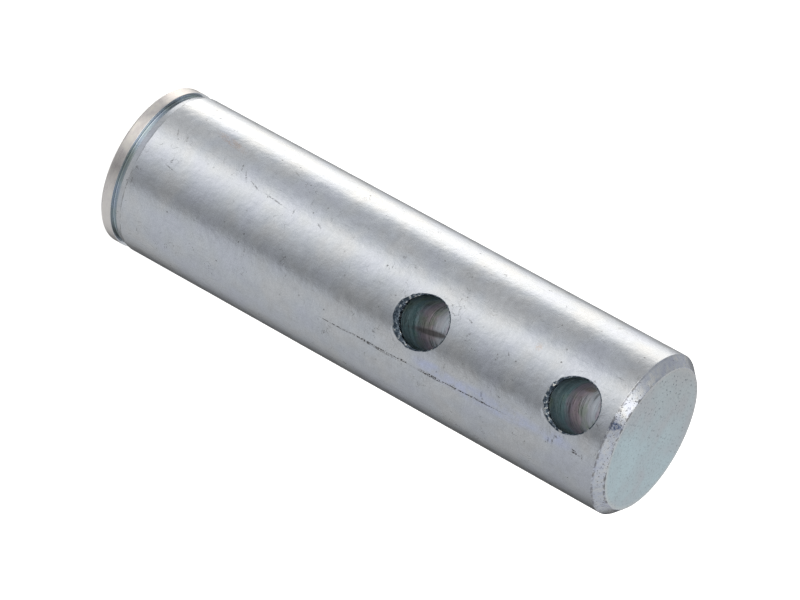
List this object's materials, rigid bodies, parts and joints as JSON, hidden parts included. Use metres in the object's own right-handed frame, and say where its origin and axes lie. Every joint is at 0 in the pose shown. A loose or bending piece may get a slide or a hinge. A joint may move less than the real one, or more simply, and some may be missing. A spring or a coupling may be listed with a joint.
{
  "type": "clevis pin",
  "caption": "Turned steel clevis pin with a retaining-ring groove near one end, a lead-in chamfer on the other and cross holes for linch pins.",
  "frame": {"origin": "centre of the flat face at the grooved end, which the pin stands on", "axes": "+Z along the pin's axis from the grooved end to the chamfered end; +Y along both cross holes; +X square to them"},
  "size_m": [0.035, 0.035, 0.125],
  "materials": {
    "zinc_plated_steel": "bright zinc plate with a clear bluish passivate, over fine turning marks"
  },
  "bodies": {
    "root": {"clevis_pin": "zinc_plated_steel"}
  },
  "joints": []
}
